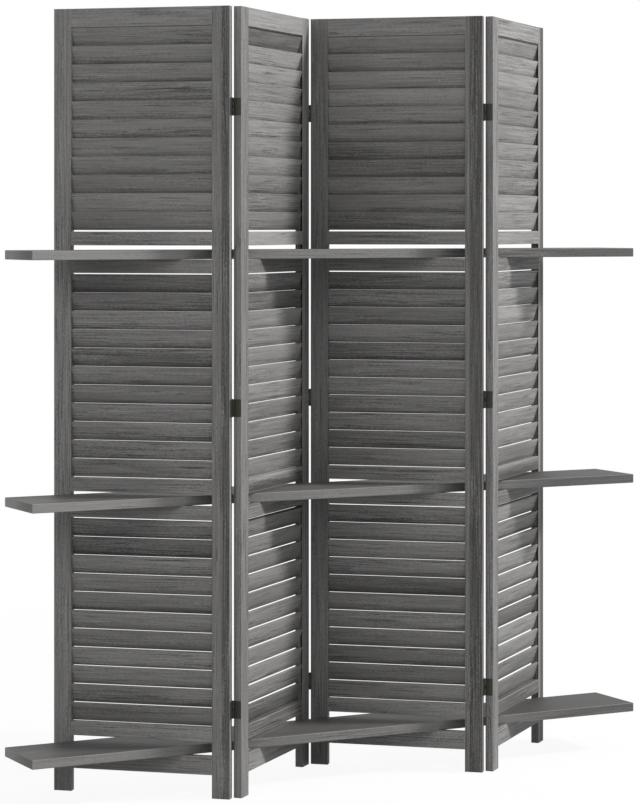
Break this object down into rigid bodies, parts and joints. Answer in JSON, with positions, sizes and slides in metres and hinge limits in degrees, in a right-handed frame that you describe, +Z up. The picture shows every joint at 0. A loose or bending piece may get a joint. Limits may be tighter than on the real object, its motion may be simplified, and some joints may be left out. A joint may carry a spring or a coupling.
{
  "type": "folding screen with shelves",
  "caption": "Folding room screen of louvred wooden panels on butt hinges, standing in a zigzag, with straight shelf boards passing through slots in every panel.",
  "frame": {"origin": "on the ground at the middle of the screen's footprint", "axes": "+Z up, front at -Y, +X to the right along the shelves"},
  "size_m": [1.506, 0.277, 1.7],
  "materials": {
    "stile_wood": "satin grey stain",
    "rail_wood": "satin grey stain",
    "slat_wood": "satin grey stain",
    "shelf_wood": "satin grey stain",
    "hinge_metal": "dark bronze"
  },
  "bodies": {
    "left_hinge_pins": {"left_fold_pins": "hinge_metal"},
    "panel_1": {"panel_1_left_stile": "stile_wood", "panel_1_right_stile": "stile_wood", "panel_1_top_rail": "rail_wood", "panel_1_upper_slot_rails": "rail_wood", "panel_1_lower_slot_rails": "rail_wood", "panel_1_bottom_rail": "rail_wood", "panel_1_upper_louvres": "slat_wood", "panel_1_middle_louvres": "slat_wood", "panel_1_lower_louvres": "slat_wood", "left_fold_left_leaves": "hinge_metal", "left_fold_left_screws": "hinge_metal"},
    "panel_2": {"panel_2_left_stile": "stile_wood", "panel_2_right_stile": "stile_wood", "panel_2_top_rail": "rail_wood", "panel_2_upper_slot_rails": "rail_wood", "panel_2_lower_slot_rails": "rail_wood", "panel_2_bottom_rail": "rail_wood", "panel_2_upper_louvres": "slat_wood", "panel_2_middle_louvres": "slat_wood", "panel_2_lower_louvres": "slat_wood", "left_fold_right_leaves": "hinge_metal", "left_fold_right_screws": "hinge_metal", "middle_fold_left_leaves": "hinge_metal", "middle_fold_left_screws": "hinge_metal", "middle_fold_pins": "hinge_metal"},
    "panel_3": {"panel_3_left_stile": "stile_wood", "panel_3_right_stile": "stile_wood", "panel_3_top_rail": "rail_wood", "panel_3_upper_slot_rails": "rail_wood", "panel_3_lower_slot_rails": "rail_wood", "panel_3_bottom_rail": "rail_wood", "panel_3_upper_louvres": "slat_wood", "panel_3_middle_louvres": "slat_wood", "panel_3_lower_louvres": "slat_wood", "middle_fold_right_leaves": "hinge_metal", "middle_fold_right_screws": "hinge_metal", "right_fold_left_leaves": "hinge_metal", "right_fold_left_screws": "hinge_metal", "right_fold_pins": "hinge_metal"},
    "panel_4": {"panel_4_left_stile": "stile_wood", "panel_4_right_stile": "stile_wood", "panel_4_top_rail": "rail_wood", "panel_4_upper_slot_rails": "rail_wood", "panel_4_lower_slot_rails": "rail_wood", "panel_4_bottom_rail": "rail_wood", "panel_4_upper_louvres": "slat_wood", "panel_4_middle_louvres": "slat_wood", "panel_4_lower_louvres": "slat_wood", "right_fold_right_leaves": "hinge_metal", "right_fold_right_screws": "hinge_metal"},
    "top_shelf": {"top_shelf": "shelf_wood"},
    "middle_shelf": {"middle_shelf": "shelf_wood"},
    "bottom_shelf": {"bottom_shelf": "shelf_wood"}
  },
  "joints": [
    {"name": "left_fold_turn", "type": "hinge", "parent": "left_hinge_pins", "child": "panel_2", "pos_m": [-0.31416, -0.12429, 0], "axis": [0, 0, 1], "range_deg": [0, 48.4]},
    {"name": "left_panel_turn", "type": "hinge", "parent": "left_hinge_pins", "child": "panel_1", "pos_m": [-0.31416, -0.12429, 0], "axis": [0, 0, 1], "range_deg": [-48.4, 0]},
    {"name": "middle_fold_turn", "type": "hinge", "parent": "panel_2", "child": "panel_3", "pos_m": [0, 0.12429, 0], "axis": [0, 0, 1], "range_deg": [-96.8, 0]},
    {"name": "right_fold_turn", "type": "hinge", "parent": "panel_3", "child": "panel_4", "pos_m": [0.31416, -0.12429, 0], "axis": [0, 0, 1], "range_deg": [0, 96.8]},
    {"name": "top_shelf_slide", "type": "slide", "parent": "left_hinge_pins", "child": "top_shelf", "axis": [1, 0, 0], "range_m": [-1.4, 1.4]},
    {"name": "middle_shelf_slide", "type": "slide", "parent": "left_hinge_pins", "child": "middle_shelf", "axis": [1, 0, 0], "range_m": [-1.4, 1.4]},
    {"name": "bottom_shelf_slide", "type": "slide", "parent": "left_hinge_pins", "child": "bottom_shelf", "axis": [1, 0, 0], "range_m": [-1.4, 1.4]}
  ],
  "couplings": [
    {"joint": "left_panel_turn", "follows": "left_fold_turn", "ratio": -1},
    {"joint": "middle_fold_turn", "follows": "left_fold_turn", "ratio": -2},
    {"joint": "right_fold_turn", "follows": "left_fold_turn", "ratio": 2}
  ]
}
